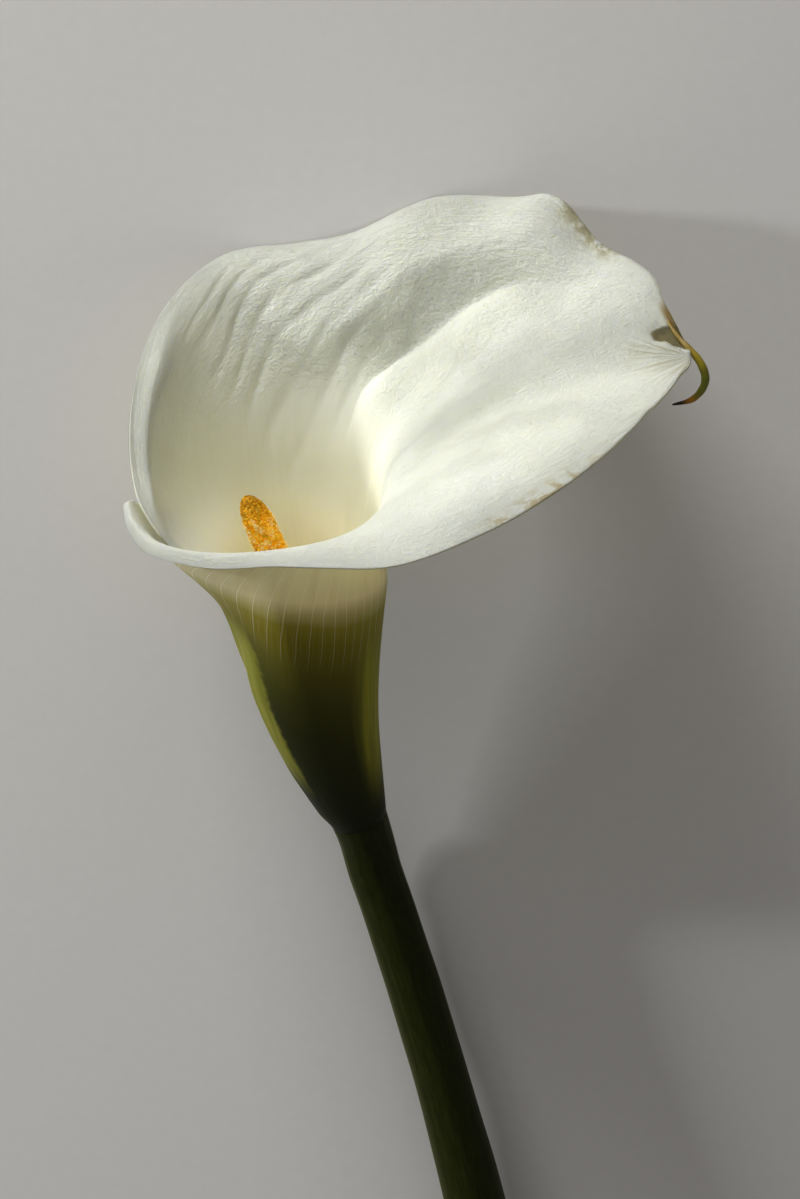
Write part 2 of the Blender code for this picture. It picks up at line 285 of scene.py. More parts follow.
def stem_finish():
    made, start, shader = new_finish("stem_skin", 0.42, specular=0.08)
    shader.inputs["Sheen Weight"].default_value = 0.10
    shader.inputs["Sheen Roughness"].default_value = 0.35
    shader.inputs["Sheen Tint"].default_value = STEM_BLOOM
    place = start.mark("stalk")
    across, along, cut = (place.part(i) for i in range(3))
    streaks = place.stretched(26.0, 3.0, 1.0).noise(1.6, 4.0, 0.6)
    fine = place.stretched(120.0, 10.0, 1.0).noise(1.0, 2.0, 0.5)
    green = streaks.step(0.3, 0.72).mix(STEM_DARK, STEM_GREEN)
    green = (fine.step(0.45, 0.8) * 0.4).mix(green, STEM_FLECK)
    # The cut face: pale pith, dotted with the ends of its strands, in a green rind.
    spots = start.own_place()
    cells = spots.node("ShaderNodeTexVoronoi", inputs={"Vector": spots, "Scale": 950.0})
    pith = cells.step(0.12, 0.42).mix(STRAND_END, PITH)
    give(shader, cut.step(0.25, 0.75).mix(green, pith), "Base Color")
    give(shader, streaks.step(0.2, 0.8) * 0.14 + 0.38, "Roughness")
    raise_relief(shader, streaks * 0.5 + fine * 0.35, 0.00012)
    return made


def stem_path():
    """The stem's middle and radii, from the cut end to the seat inside the spathe's foot (m)."""
    seat = [in_world(np.array([FOOT_DRIFT - SEAT_LEAN * h, 0.0, h])) for h in (-COLLAR_GAP, 0.0, 3.2, 4.0)]
    distances = np.linspace(1.0, 0.0, STEM_RINGS - 3) ** 1.3 * STEM_LENGTH
    heights = spline(distances, STEM_HEIGHTS) * MM
    lean = STEM_LEAN[0] + (STEM_LEAN[1] - STEM_LEAN[0]) * distances / STEM_LENGTH / 2
    x = seat[0][0] + (np.sin(lean) * distances - STEM_BEND * smooth_step(distances, 0.0, 18.0)) * MM
    y = seat[0][1] - np.cos(lean) * distances * MM
    points = np.vstack([np.stack([x, y, heights], 1)[:-1], seat])
    radii = spline(distances, STEM_RADII)
    return points, np.concatenate([radii[:-1], [STEM_RADII[0][1], SEAT_RADIUS, SEAT_RADIUS, SEAT_RADIUS - 1.0]]) * MM


stem_points, stem_radii = stem_path()
stem_surface = swept_rod(stem_points, stem_radii, (0.0, 0.0, 1.0))


def ribbed_stem(across, along):
    turn = 2 * math.pi * across
    drift = 0.8 * np.sin(5 * along)
    ribs = 0.04 * np.sin(13 * turn + drift) + 0.03 * np.sin(21 * turn - drift + 1.0) + 0.05 * np.sin(4 * turn + 2.0)
    swell = 0.06 * np.sin(along * 23.0) + 0.03 * np.sin(along * 51.0 + turn)
    return stem_surface(across, along, (ribs + swell) * smooth_step(along, 0.0, 0.01) * MM)


# The stalk mark: place round the stem, place along it, and 1 on the cut face.
stem_shape = formed_grid(
    STEM_SIDES, STEM_RINGS, ribbed_stem,
    {"stalk": lambda across, along: np.stack([across, along * 6.0, 0 * along], 1)},
)
stem_caps = close_rod(stem_shape)
cut_face = min(stem_caps, key=lambda face: face.calc_center_median().y)
cut_mark = stem_shape.verts.layers.float_vector["stalk"]
for depth in (0.25, 0.6):
    bmesh.ops.inset_region(stem_shape, faces=[cut_face], thickness=depth * MM, depth=-0.12 * MM * depth)
    for vertex in cut_face.verts:
        vertex[cut_mark] = (vertex[cut_mark][0], 0.0, 1.0)
bmesh.ops.poke(stem_shape, faces=[cut_face], offset=0.0)
finished("stem_stalk", stem_shape, stem_finish(), "stem", "stem")

# =========================================================== the spathe
# One thick leaf rolled into a funnel and spread at its rim, its inner edge tucked inside the outer one. It
# wraps the stem's end and grows from it. Its skin is matt, cream within, green down the outside.
SPATHE_COLUMNS = 330
SPATHE_ROWS = 140
SEAM = 190.0
SEAM_SLIT = 5.0
FOOT_RADIUS = 6.9
FUNNEL_TAPER = 0.21
FUNNEL_FLARE = 0.0009
FLARE_FROM = 50.0
LAP = 0.8
WAIST = 4.1
LIP_ROLL = 3.0
THICK_FOOT = 1.1
THICK_MARGIN = 0.55

# Margin: place along the foot, degrees round the axis, radius, height, slope of the lip.
MARGIN = (
    (0.000, 220, 18.6, 60, 78), (0.025, 212, 25.4, 84, 70), (0.050, 202, 31.0, 98, 70),
    (0.075, 190, 33.2, 105, 72), (0.105, 172, 34.4, 110, 72), (0.140, 149, 36.7, 121, 66),
    (0.185, 125, 42.0, 132, 45), (0.240, 102, 53.5, 138, 20), (0.280, 90, 62.6, 138, -5),
    (0.325, 74, 66.65, 136, -5), (0.355, 63, 71.0, 136, -5), (0.390, 50, 85.0, 140, -10),
    (0.425, 38, 96.0, 138, 0), (0.445, 31, 100.0, 139.5, 20), (0.470, 22, 101.8, 130, 20),
    (0.485, 16, 105.5, 127, 15), (0.498, 12, 107.5, 124.5, 15), (0.508, 9, 107.2, 120.4, 10),
    (0.522, 2.6, 109.4, 111.6, 0), (0.540, -5, 105.0, 112.5, -5), (0.570, -14, 100.0, 114, -5),
    (0.600, -24, 93.5, 114, -10), (0.635, -36, 86.0, 112, -15), (0.675, -48, 77.0, 108.5, -20),
    (0.720, -62, 62.0, 102.5, -20), (0.760, -76, 46.5, 100.5, -20), (0.800, -92, 37.5, 99.5, -25),
    (0.850, -118, 35.0, 99, -50), (0.895, -142, 35.0, 99, -60), (0.930, -162, 35.8, 98.5, -60),
    (0.955, -178, 36.8, 101, -50), (0.975, -190, 36.4, 101.5, -10), (0.990, -199, 32.5, 90, 50),
    (1.000, -206, 26.5, 70, 70),
)
# Shoulder: the same places, radius and height.
SHOULDER = (
    (0.000, 16.4, 50), (0.030, 22.5, 76), (0.060, 28.0, 91), (0.105, 31.0, 98), (0.185, 34.5, 113),
    (0.280, 42.0, 121), (0.355, 46.0, 120), (0.405, 47.0, 115), (0.440, 44.0, 107), (0.470, 38.0, 103),
    (0.522, 34.0, 101), (0.635, 32.0, 99), (0.720, 30.5, 97), (0.800, 28.5, 96), (0.850, 29.0, 96.5),
    (0.895, 30.8, 97), (0.930, 31.8, 97), (0.955, 33.0, 98), (0.975, 32.5, 94), (0.990, 28.0, 78),
    (1.000, 23.0, 60),
)
RIB_KNOTS = np.array((0.0, 0.22, 0.45, 0.68, 1.0))
DRIFT = ((0.00, 1.6), (0.22, -0.9), (0.45, 0.8), (0.68, 0.9), (1.00, 0.0))
FUNNEL_KNOTS = (0.30, 0.60)

# The crease between the far wall and the spread limb: height up the rib, its place there, its far flank's width.
CREASE = (
    (0.50, 0.378, 0.085), (0.56, 0.380, 0.082), (0.60, 0.385, 0.080), (0.63, 0.394, 0.076), (0.66, 0.403, 0.068),
    (0.72, 0.419, 0.050), (0.77, 0.428, 0.042), (0.81, 0.434, 0.037), (0.85, 0.443, 0.033), (0.88, 0.451, 0.030),
    (0.91, 0.460, 0.028), (0.94, 0.471, 0.026), (1.0, 0.49, 0.024),
)
CREASE_DEPTH = 7.4
TIP_PLACE = 0.51
NUB_PLACE = 0.524
SHEET_WIDTH = 330.0
SHEET_LENGTH = 170.0
PLEAT_DEPTH = 0.33
CREPE_DEPTH = 0.07
FAR_CURL = 1.9
NEAR_CURL = 1.3
NICK_DEPTH = 0.7
NICK_PLACE = 0.577
POCKET_DEPTH = 1.5
SLOW_WAVE = 0.12
CRUMPLE_WAVES = 22

# Inner skin: cream over the limb and down the throat, with its veins and wrinkles, a near edge partly bruised and
# partly in painted shade, and painted shade at the far corner and in the tip's pocket.
LIMB_CREAM = (0.820, 0.850, 0.760, 1.0)
LIMB_CLOUD = (0.785, 0.810, 0.710, 1.0)
THROAT_CREAM = (0.860, 0.830, 0.580, 1.0)
INNER_VEIN = (0.62, 0.66, 0.42, 1.0)
TIP_WRINKLE = (0.45, 0.41, 0.26, 1.0)
MARGIN_OCHRE = (0.30, 0.19, 0.030, 1.0)
CORNER_SHADE_BROWN = (0.30, 0.26, 0.12, 1.0)
EDGE_TAN_AND_SHADE = (0.45, 0.33, 0.15, 1.0)
POCKET_SHADE_DARK = (0.085, 0.070, 0.018, 1.0)
POCKET_SHADE_OLIVE = (0.20, 0.16, 0.05, 1.0)

# Outer skin, by height: dark green at the foot, olive up the funnel, then sharply cream under the lip. The
# green-to-cream fade is the leaf's own; the sharp, bright cream band under the lip is painted light shining through the
# thin wall, its lower edge a painted shadow edge.
SKIN_TOP = 12.0
OUTER_SKIN_AND_GLOW = (
    (0.00, (0.0110, 0.0135, 0.0014)), (0.21, (0.0240, 0.0255, 0.0020)), (0.32, (0.050, 0.050, 0.0030)),
    (0.41, (0.095, 0.085, 0.0040)), (0.50, (0.190, 0.158, 0.007)), (0.545, (0.280, 0.240, 0.020)),
    (0.58, (0.530, 0.480, 0.180)), (0.615, (0.840, 0.775, 0.480)), (0.74, (0.890, 0.845, 0.610)),
)
# Tones of a painted-light strip down each flank of the funnel, and of painted shade under the lip on the lapped side.
TIPWARD_LIT_TONES = (0.34, 0.33, 0.020, 1.0), (0.20, 0.20, 0.012, 1.0)
LAPPED_LIT_TONES = (0.33, 0.31, 0.045, 1.0), (0.19, 0.20, 0.016, 1.0)
LAPPED_LIP_SHADE = (0.36, 0.32, 0.17, 1.0)
OUTER_STREAK = (0.66, 0.54, 0.26, 1.0)
OUTER_VEIN = (1.0, 0.98, 0.80, 1.0)
OUTER_OCHRE = (0.45, 0.27, 0.05, 1.0)
LIGHT_THROUGH = (0.93, 0.92, 0.76, 1.0)


def band(x, low, full, still, gone):
    """1 from full to still, and 0 below low and above gone."""
    return smooth_step(x, low, full) * (1 - smooth_step(x, still, gone))


def funnel_radius(height):
    return FOOT_RADIUS + FUNNEL_TAPER * height + FUNNEL_FLARE * np.clip(height - FLARE_FROM, 0, None) ** 2


def rib(u):
    """Radii and heights at the knots of the ribs, and the slopes there."""
    margin_r, margin_z = spline(u, MARGIN, 2), spline(u, MARGIN, 3)
    lip = np.radians(spline(u, MARGIN, 4))
    low, high = (margin_z * share for share in FUNNEL_KNOTS)
    radii = [funnel_radius(0 * u), funnel_radius(low), funnel_radius(high), spline(u, SHOULDER, 1), margin_r]
    heights = [0 * u, low, high, spline(u, SHOULDER, 2), margin_z]
    slopes = []
    for knots, end in ((radii, np.cos(lip)), (heights, np.sin(lip))):
        inner = [(knots[i + 1] - knots[i - 1]) / (RIB_KNOTS[i + 1] - RIB_KNOTS[i - 1]) for i in range(1, 4)]
        reach = np.hypot(radii[4] - radii[3], heights[4] - heights[3]) / (RIB_KNOTS[4] - RIB_KNOTS[3])
        slopes.append([(knots[1] - knots[0]) / RIB_KNOTS[1], *inner, reach * end])
    return radii, heights, slopes


def leaf_sheet(u, v):
    """The leaf's plain sheet, before its crease, pleats and thickness (mm, bloom's frame)."""
    radii, heights, slopes = rib(u)
    i = np.clip(np.searchsorted(RIB_KNOTS, v) - 1, 0, 3)
    start, end = (i, np.arange(len(u))), (i + 1, np.arange(len(u)))
    radius, height = (
        hermite(v, RIB_KNOTS[i], RIB_KNOTS[i + 1], table[start], table[end], slope[start], slope[end])
        for table, slope in ((np.array(radii), np.array(slopes[0])), (np.array(heights), np.array(slopes[1])))
    )
    foot = SEAM - SEAM_SLIT / 2 - (360.0 - SEAM_SLIT) * u
    angle = np.radians(foot + (spline(u, MARGIN, 1) - foot) * smooth_step(v, 0.06, 0.9))
    radius = radius + LAP * smooth_step(v, 0.0, 0.06) * (smooth_step(u, 0.78, 0.95) - smooth_step(1 - u, 0.82, 0.97))
    # On the lapped side the funnel is drawn in below the rim.
    radius = radius - WAIST * band(height, 44.0, 70.0, 74.0, 98.0) * smooth_step(-np.cos(angle), 0.2, 0.9)
    # The left margin rolls outward in a narrow lip.
    rolled = band(u, 0.05, 0.10, 0.17, 0.235)
    radius = radius + LIP_ROLL * rolled * (smooth_step(v, 0.93, 1.0) - smooth_step(v, 0.6, 0.93))
    height = height + SEAT_LEAN * radius * np.cos(angle) * (1 - smooth_step(v, 0.0, 0.15))
    return np.stack([radius * np.cos(angle) + spline(v, DRIFT, 1), radius * np.sin(angle), height], 1)


def vein_place(u, v, bend):
    """Which vein passes through a point: they rise from the foot and bend to the tip."""
    return (u - TIP_PLACE) / (1 - 0.9 * v**bend)


def crumple(across, along, seed, pitch):
    """Irregular waves of about one pitch, as a sum of crossed sines."""
    chance = np.random.default_rng(seed)
    total = 0.0
    for _ in range(CRUMPLE_WAVES):
        turn = chance.uniform(0, math.pi)
        wave = pitch * chance.uniform(0.7, 1.5)
        start = chance.uniform(0, 2 * math.pi)
        total = total + np.sin(2 * math.pi * (across * math.cos(turn) + along * math.sin(turn)) / wave + start)
    return total / math.sqrt(CRUMPLE_WAVES / 2)


def tip_place(u, v):
    """Turn (radians) and distance (cm) from the tip's nub."""
    at = leaf_sheet(u, v) - leaf_sheet(np.array([NUB_PLACE]), np.array([1.0]))
    return np.arctan2(at[:, 1], -at[:, 0]), np.linalg.norm(at, axis=1) / 10


def tip_pocket(u, v):
    """1 in the small pocket beside the nub, and 0 outside it."""
    turn, away = tip_place(u, v)
    lower_side = smooth_step(turn + 0.45 * away, 1.10, 1.26)
    return lower_side * smooth_step(away, 0.25, 0.50) * (1 - smooth_step(away + 0.4 * (turn - 0.96), 1.05, 1.30))


def leaf_relief(u, v):
    """How far the crease, the pleats and the slow waves lift the sheet inwards (mm)."""
    beside = u - spline(v, CREASE)
    far_flank = np.clip(1 - np.hypot(beside, 0.001) / spline(v, CREASE, 2), 0, 1) ** 1.3
    fall = np.where(beside < 0, far_flank, np.exp(-np.hypot(beside, 0.0008) / 0.012))
    crease = -CREASE_DEPTH * fall * band(v, 0.50, 0.68, 0.84, 0.97)
    across, along = u * SHEET_WIDTH, v * SHEET_LENGTH
    phase = (np.log(np.clip(TIP_PLACE - u, 0.03, None)) + 2.3 * v) / 0.185 * 2 * math.pi
    phase = phase + 0.9 * crumple(across, along * 0.6, 3, 34.0)
    pleats = np.sin(phase) + 0.4 * np.sin(2.0 * phase + 1.3) + 0.35 * crumple(across, along * 0.35, 5, 7.0)
    pleats = PLEAT_DEPTH * pleats * (0.65 + 0.3 * crumple(across, along, 7, 26.0))
    pleats = pleats * band(u, 0.20, 0.27, 0.33, 0.42) * band(v, 0.42, 0.70, 0.84, 0.95)
    crepe = CREPE_DEPTH * crumple(across, along * 0.6, 9, 6.0)
    crepe = crepe * band(v, 0.58, 0.75, 0.93, 1.0) * band(u, 0.24, 0.34, 0.64, 0.74)
    # The margin curls down past the far corner and along the near side, and is nicked there once.
    edge = smooth_step(v, 0.955, 1.0)
    curl = -FAR_CURL * edge * band(u, 0.437, 0.455, 0.462, 0.485)
    curl -= NEAR_CURL * smooth_step(v, 0.93, 1.0) * band(u, 0.575, 0.61, 0.66, 0.72)
    nick = NICK_DEPTH * edge * np.exp(-(((u - NICK_PLACE) / 0.0035) ** 2))
    # At the tip the far half's edge folds over a small pocket.
    pocket = -POCKET_DEPTH * tip_pocket(u, v)
    slow = np.sin(23 * u + 7 * v) * np.sin(31 * v - 5 * u) + 0.6 * np.sin(47 * u - 19 * v + 1.0)
    slow = SLOW_WAVE * slow * smooth_step(v, 0.6, 0.8) * band(u, 0.4, 0.5, 0.72, 0.82)
    return crease + curl + nick + pocket + pleats + crepe + slow


def normals_of(surface, u, v, step=0.002):
    """Unit normals of a surface, on the side of the bloom's hollow."""
    across = surface(np.clip(u + step, 0, 1), v) - surface(np.clip(u - step, 0, 1), v)
    along = surface(u, np.clip(v + step, 0, 1)) - surface(u, np.clip(v - step, 0, 1))
    normal = np.cross(across, along)
    return normal / np.linalg.norm(normal, axis=1, keepdims=True)


def leaf_middle(u, v):
    return leaf_sheet(u, v) + normals_of(leaf_sheet, u, v) * leaf_relief(u, v)[:, None]


def even_places(count, speed):
    """Places from 0 to 1 that are closer together where the speed is high."""
    fine = np.linspace(0, 1, 2001)
    total = np.concatenate([[0], np.cumsum((speed[1:] + speed[:-1]) / 2)])
    return np.interp(np.linspace(0, total[-1], count + 1), total, fine)


leaf_steps = np.linspace(0, 1, 2001)
leaf_speeds = [
    np.linalg.norm(np.gradient(leaf_sheet(leaf_steps, np.full(2001, at)), axis=0), axis=1) for at in (0.5, 0.75, 1.0)
]
leaf_columns = even_places(SPATHE_COLUMNS, sum(speeds / speeds.mean() for speeds in leaf_speeds) + 0.6)
leaf_rows = even_places(SPATHE_ROWS, 0.55 + smooth_step(leaf_steps, 0.35, 0.65))


def leaf_uv(across, along):
    even = np.linspace(0, 1, SPATHE_COLUMNS + 1), np.linspace(0, 1, SPATHE_ROWS + 1)
    return np.interp(across, even[0], leaf_columns), np.interp(along, even[1], leaf_rows)


def on_leaf(formula):
    return lambda across, along: formula(*leaf_uv(across, along))


def vein_marks(u, v):
    """The vein that passes, how close it runs to the midrib, and height up the leaf."""
    vein = vein_place(u, v, 4)
    return np.stack([vein, np.log(np.abs(vein) + 0.02), v], 1)


def tip_marks(u, v):
    """Place round the tip's nub, where the wrinkles run together, and the outer skin's veins."""
    return np.stack([*tip_place(u, v), vein_place(u, v, 2)], 1)


def skin_marks(u, v):
    """Height up the funnel (cm) and the pocket at the tip."""
    return np.stack([leaf_sheet(u, v)[:, 2] / 10, tip_pocket(u, v), 0 * u], 1)


def leaf_marks(u, v):
    """Place along the foot, place up the leaf, and 1 on the outer skin."""
    return np.stack([u, v, 0 * u], 1)


spathe_marks = {"leaf": leaf_marks, "vein": vein_marks, "tip": tip_marks, "skin": skin_marks}
spathe_shape = formed_grid(
    SPATHE_COLUMNS, SPATHE_ROWS, on_leaf(lambda u, v: in_world(leaf_middle(u, v))),
    {name: on_leaf(marks) for name, marks in spathe_marks.items()},
)
# The sheet is doubled into an inner and an outer skin, and both are set half the leaf's thickness off it.
leaf_mark = spathe_shape.verts.layers.float_vector["leaf"]
sheet_faces = list(spathe_shape.faces)
outer = bmesh.ops.extrude_face_region(spathe_shape, geom=sheet_faces, use_keep_orig=True)["geom"]
for item in outer:
    if isinstance(item, bmesh.types.BMVert):
        item[leaf_mark] = (*item[leaf_mark][:2], 1.0)
leaf_places = np.array([vertex[leaf_mark][:] for vertex in spathe_shape.verts])
leaf_u, leaf_v, leaf_side = leaf_places.T
leaf_depth = THICK_FOOT + (THICK_MARGIN - THICK_FOOT) * smooth_step(leaf_v, 0.3, 1.0)
leaf_shift = normals_of(leaf_middle, leaf_u, leaf_v) * (leaf_depth * (0.5 - leaf_side))[:, None]
leaf_points = in_world(leaf_middle(leaf_u, leaf_v) + leaf_shift)
leaf_points[:, 2] = np.maximum(leaf_points[:, 2], 0.0)
for vertex, point in zip(spathe_shape.verts, leaf_points):
    vertex.co = point
if spathe_shape.calc_volume(signed=True) < 0:
    bmesh.ops.reverse_faces(spathe_shape, faces=spathe_shape.faces)


def spathe_finish():
    made, start, shader = new_finish("spathe_skin", 0.55, 0.45, (1.0, 0.88, 0.55), 0.0018, 0.10)
    leaf = start.mark("leaf")
    u, v, outside = (leaf.part(i) for i in range(3))
    vein = start.mark("vein")
    fine_veins = vein.stretched(90.0, 1.0, 4.0).noise(1.0, 3.0, 0.5)
    tip = start.mark("tip")
    near_tip = 1.0 - tip.part(1).step(0.5, 2.8)
    wrinkled = near_tip * near_tip
    rays = tip.stretched(15.0, 0.5, 0.0).noise(1.0, 3.0, 0.65) * (1.0 - tip.part(0).step(0.75, 1.0))
    place = start.own_place()
    clouds = place.noise(35.0, 3.0, 0.5)

    # Inside: cream, yellower down the throat.
    limb = clouds.step(0.35, 0.7).mix(LIMB_CREAM, LIMB_CLOUD)
    inside = v.step(0.28, 0.66).mix(THROAT_CREAM, limb)
    inside = (rays.step(0.46, 0.60) * wrinkled * 0.85).mix(inside, TIP_WRINKLE)
    inside = (fine_veins.step(0.52, 0.72) * 0.12).mix(inside, INNER_VEIN)
    # The margin's end turns ochre. Its far corner is painted brown as shade where the margin curls away, a streak of
    # the near side is painted tan, partly a bruise and partly shade, and the tip's pocket is painted dark as shade.
    mottle = place.noise(260.0, 3.0, 0.6)
    ochre = v.step(0.989, 0.996) * u.band(0.505, 0.511, 0.517, 0.521)
    inside = (ochre * 0.9).mix(inside, MARGIN_OCHRE)
    # Painted shade: brown along the far corner's edge, where the curled margin turns away from the light.
    corner_shade = v.step(0.975, 0.994) * u.band(0.4455, 0.450, 0.470, 0.482) * mottle.step(0.35, 0.55)
    inside = (corner_shade * 0.75).mix(inside, CORNER_SHADE_BROWN)
    # Partly a real tan bruise and partly painted shade, where the near margin curls down away from the light.
    near_edge_tan_and_shade = (v + mottle * 0.03).step(0.985, 1.01) * u.band(0.60, 0.63, 0.66, 0.69) * mottle.step(0.45, 0.6)
    inside = (near_edge_tan_and_shade * 0.7).mix(inside, EDGE_TAN_AND_SHADE)
    skin_place = start.mark("skin")
    # Painted shade: the tip's small pocket is darkened because the recess lies in shade, and is olive where the mottle
    # lifts it.
    pocket = (skin_place.part(1) + mottle * 0.3 - 0.15).step(0.30, 0.55)
    inside = (pocket * 0.92).mix(inside, mottle.step(0.35, 0.65).mix(POCKET_SHADE_DARK, POCKET_SHADE_OLIVE))

    # Outside: the ramp rises away from the funnel's near side, curving the painted shadow edge under the lip, and pale
    # veins run up it.
    height = skin_place.part(0)
    rise = ((u - 0.58) * (u - 0.58) * 16.8).at_most(1.8)
    level = (height - rise + clouds * 0.5 - 0.25) / SKIN_TOP
    skin = level.ramp(OUTER_SKIN_AND_GLOW)
    streaks = vein.stretched(40.0, 1.0, 5.0).noise(1.0, 3.0, 0.6)
    wander = vein.stretched(9.0, 1.0, 7.0).noise(1.0, 2.0, 0.5)
    count = tip.part(2) * 31.0 + wander * 0.9
    strands = count.zigzag(0.5).step(0.462, 0.494) * 0.90
    strands = strands + (count * 2.0 + 0.5 + wander).zigzag(0.5).step(0.455, 0.5) * 0.30
    lines = strands * (streaks * 0.6 + 0.65)
    # Painted light: a paler olive strip down the funnel's tipward flank, standing in for light from that side.
    tipward_lit = u.band(0.48, 0.56, 0.63, 0.71) * height.band(0.4, 2.8, 4.8, 7.0)
    skin = (tipward_lit * 0.8).mix(skin, streaks.step(0.3, 0.7).mix(*TIPWARD_LIT_TONES))
    # Painted light: a bright yellow-green strip down the lapped flank, as if lit from the left, its jagged edge a
    # painted shadow edge.
    lapped_lit_strip = (u + mottle * 0.03).step(0.912, 0.930) * height.band(1.2, 2.8, 5.8, 8.0)
    skin = (lapped_lit_strip * 0.75).mix(skin, streaks.step(0.3, 0.7).mix(*LAPPED_LIT_TONES))
    # Painted shade: the cream band is darkened under the lip on the lapped side, where the lip shades it.
    skin = (u.step(0.82, 0.93) * height.step(7.0, 9.0) * 0.50).mix(skin, LAPPED_LIP_SHADE)
    skin = (streaks.step(0.45, 0.7) * level.step(0.57, 0.65) * 0.35).mix(skin, OUTER_STREAK)
    skin = (lines * (level.step(0.38, 0.56) * 0.40 + level.step(0.54, 0.62) * 0.60)).mix(skin, OUTER_VEIN)
    skin = (ochre * 0.8).mix(skin, OUTER_OCHRE)
    give(shader, outside.step(0.3, 0.7).mix(inside, skin), "Base Color")

    # Fine crepe over the limb, closer lines along the veins, and radiating wrinkles at the tip.
    crackle = vein.stretched(9.0, 34.0, 70.0).ridges(1.0, 5.0, 0.68, 0.5) * 0.5
    crackle = crackle + place.ridges(300.0, 5.0, 0.72, 0.2) * 0.9
    patchy = place.noise(45.0, 2.0, 0.5).step(0.38, 0.62) * 0.75 + 0.25
    creases = vein.stretched(4.0, 26.0, 90.0).noise(1.0, 4.0, 0.62, 1.2)
    ripples = vein.stretched(26.0, 2.0, 230.0).noise(1.0, 3.0, 0.55, 0.6)
    crumpled = place.stretched(1.0, 1.0, 1.6).noise(480.0, 5.0, 0.72)
    spread = v.step(0.55, 0.72) * (1.0 - outside * 0.7)
    relief = (crackle * patchy + crumpled * 2.6 + ripples + creases * 2.4) * spread
    raise_relief(shader, relief + fine_veins * 0.25 + rays * wrinkled * 7.0, 0.0004)

    # The leaf lets a little light through where it isn't green.
    through = start.node("ShaderNodeBsdfTranslucent", inputs={"Color": LIGHT_THROUGH})
    opaque = Wire(start.tree, shader.outputs[0])
    thin = start.node("ShaderNodeMixShader", inputs={0: level.step(0.55, 0.67) * 0.20, 1: opaque, 2: through})
    start.tree.links.new(thin.socket, start.tree.nodes["Material Output"].inputs["Surface"])
    return made


finished("spathe_leaf", spathe_shape, spathe_finish(), "spathe", "spathe")

# =========================================================== the cusp
# The leaf's own end, rolled into a slender tail that hooks back under the tip. It grows on from the spathe's
# margin, ochre and olive, and its point has dried black.

# Middle line in the bloom's frame, and radius.
CUSP = (
    (105.2, 17.0, 120.2, 0.2), (105.6, 13.6, 117.4, 0.32), (107.2, 9.9, 114.2, 0.5), (109.4, 6.5, 111.6, 0.8),
    (111.2, 4.2, 108.6, 1.02), (111.8, 2.9, 105.0, 1.05), (110.4, 2.3, 102.0, 0.95), (107.2, 2.0, 99.9, 0.75),
    (102.4, 2.5, 99.4, 0.22),
)
CUSP_RINGS = 90
CUSP_SIDES = 24
GROOVE_DEPTH = 0.35
CUSP_SKIN = (
    (0.00, (0.520, 0.420, 0.200)), (0.14, (0.300, 0.190, 0.035)), (0.34, (0.200, 0.130, 0.012)),
    (0.48, (0.300, 0.230, 0.012)), (0.64, (0.150, 0.175, 0.009)), (0.80, (0.240, 0.240, 0.012)),
    (0.88, (0.550, 0.250, 0.010)), (0.94, (0.014, 0.008, 0.004)),
)
CUSP_STREAK = (0.060, 0.045, 0.010, 1.0)


def cusp_surface():
    rows = [(i, *row) for i, row in enumerate(CUSP)]
    steps = np.linspace(0, len(CUSP) - 1, CUSP_RINGS + 1)
    path = in_world(np.stack([spline(steps, rows, column) for column in (1, 2, 3)], 1))
    return swept_rod(path, spline(steps, rows, 4) * MM, tuple(FARWARD))


cusp_rod = cusp_surface()


def rolled_cusp(across, along):
    turn = 2 * math.pi * across
    groove = GROOVE_DEPTH * np.exp(-((np.cos(turn / 2 - 2.2)) ** 2) / 0.03) * smooth_step(1 - along, 0.05, 0.4)
    return cusp_rod(across, along, (0.03 * np.sin(along * 60) - groove) * MM)


def cusp_finish():
    made, start, shader = new_finish("cusp_skin", 0.40, 0.15, (1.0, 0.7, 0.1), 0.001, 0.35)
    place = start.mark("tail")
    streaks = place.stretched(9.0, 3.0, 1.0).noise(1.0, 3.0, 0.6)
    give(shader, (streaks.step(0.4, 0.8) * 0.5).mix(place.part(1).ramp(CUSP_SKIN), CUSP_STREAK), "Base Color")
    raise_relief(shader, streaks, 0.0002)
    return made


cusp_shape = formed_grid(
    CUSP_SIDES, CUSP_RINGS, rolled_cusp, {"tail": lambda across, along: np.stack([across, along, 0 * along], 1)}
)
close_rod(cusp_shape)
finished("spathe_cusp", cusp_shape, cusp_finish(), "spathe", "spathe")

# =========================================================== the spadix
# The fleshy rod inside the funnel that carries the true flowers: green pistils below, and above them a
# close cover of small two-lobed anthers, dusted with pale pollen. It grows from the stem's end.
SPADIX_FOOT = np.array((1.0, 0.0))
SPADIX_TIP = np.array((-6.8, 3.0))
SPADIX_TOP = 98.2
SPADIX_RADIUS = 4.7
SPADIX_NARROWING = 1.25
NARROW_FROM = 40.0
SPADIX_CURVE = 2.5
PISTIL_BOTTOM = 4.3
PISTIL_TOP = 22.0
STAMEN_BOTTOM = 22.3
TIP_DOME = 7.0
FLORET_GLOW = 0.17


def spadix_radius(height, bottom, top, dome):
    below = np.sqrt(np.clip(height - bottom, 0, 1.0))
    above = np.clip((top - height) / dome, 0, 1)
    narrowed = np.clip((height - NARROW_FROM) / (SPADIX_TOP - NARROW_FROM), 0, 1) ** 1.5
    return (SPADIX_RADIUS - SPADIX_NARROWING * narrowed) * below * np.sqrt(1 - (1 - above) ** 2)


def spadix_point(turn, height, radius):
    middle = SPADIX_FOOT + (SPADIX_TIP - SPADIX_FOOT) * (height / SPADIX_TOP)[:, None] ** SPADIX_CURVE
    return np.stack([middle[:, 0] + radius * np.cos(turn), middle[:, 1] + radius * np.sin(turn), height], 1)


